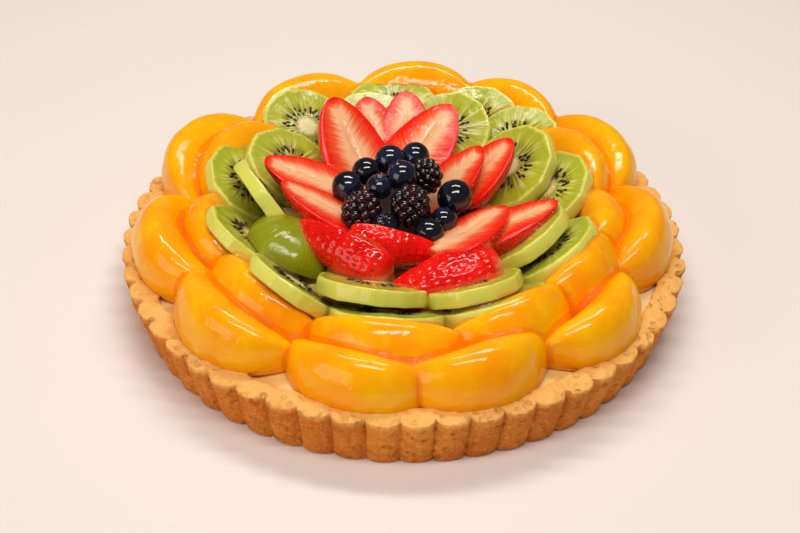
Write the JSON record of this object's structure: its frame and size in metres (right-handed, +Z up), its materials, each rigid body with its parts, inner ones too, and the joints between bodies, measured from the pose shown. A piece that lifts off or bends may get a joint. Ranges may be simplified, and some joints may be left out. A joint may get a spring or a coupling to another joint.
{
  "type": "fruit tart",
  "caption": "Round fruit tart: fluted shortcrust shell, custard filling and rings of glazed peach, kiwi and strawberry with dark berries in the middle.",
  "frame": {"origin": "middle of the crust's flat underside", "axes": "+Z up, out of the fruit; -Y is the side that the picture shows nearest"},
  "size_m": [0.2498, 0.2498, 0.0668],
  "materials": {
    "crust": "baked shortcrust: golden brown, dry and crumbly",
    "custard": "smooth pale yellow pastry cream",
    "peach": "orange-yellow canned peach under clear glaze",
    "kiwi": "green kiwi flesh with pale core and black seeds under clear glaze",
    "strawberry": "red strawberry with a paler cut face under clear glaze",
    "blueberry": "navy-black berry skin under clear glaze",
    "bramble": "black drupelets under clear glaze"
  },
  "bodies": {
    "root": {"blueberries_back": "blueberry", "blueberries_right": "blueberry", "blueberries_top": "blueberry", "bramble_01": "bramble", "bramble_02": "bramble", "bramble_03": "bramble", "crust": "crust", "custard": "custard", "kiwi_end": "kiwi", "kiwi_inner_01": "kiwi", "kiwi_inner_02": "kiwi", "kiwi_inner_03": "kiwi", "kiwi_inner_04": "kiwi", "kiwi_inner_05": "kiwi", "kiwi_inner_06": "kiwi", "kiwi_inner_07": "kiwi", "kiwi_inner_08": "kiwi", "kiwi_outer_01": "kiwi", "kiwi_outer_02": "kiwi", "kiwi_outer_03": "kiwi", "kiwi_outer_04": "kiwi", "kiwi_outer_05": "kiwi", "kiwi_outer_06": "kiwi", "kiwi_outer_07": "kiwi", "kiwi_outer_08": "kiwi", "kiwi_outer_09": "kiwi", "kiwi_outer_10": "kiwi", "kiwi_outer_11": "kiwi", "peach_inner_01": "peach", "peach_inner_02": "peach", "peach_inner_03": "peach", "peach_inner_04": "peach", "peach_inner_05": "peach", "peach_inner_06": "peach", "peach_inner_07": "peach", "peach_inner_08": "peach", "peach_outer_01": "peach", "peach_outer_02": "peach", "peach_outer_03": "peach", "peach_outer_04": "peach", "peach_outer_05": "peach", "peach_outer_06": "peach", "peach_outer_07": "peach", "peach_outer_08": "peach", "peach_outer_09": "peach", "peach_outer_10": "peach", "peach_outer_11": "peach", "strawberry_01": "strawberry", "strawberry_02": "strawberry", "strawberry_03": "strawberry", "strawberry_04": "strawberry", "strawberry_05": "strawberry", "strawberry_06": "strawberry", "strawberry_07": "strawberry", "strawberry_08": "strawberry", "strawberry_09": "strawberry", "strawberry_10": "strawberry", "strawberry_11": "strawberry", "strawberry_12": "strawberry", "strawberry_13": "strawberry"}
  },
  "joints": []
}
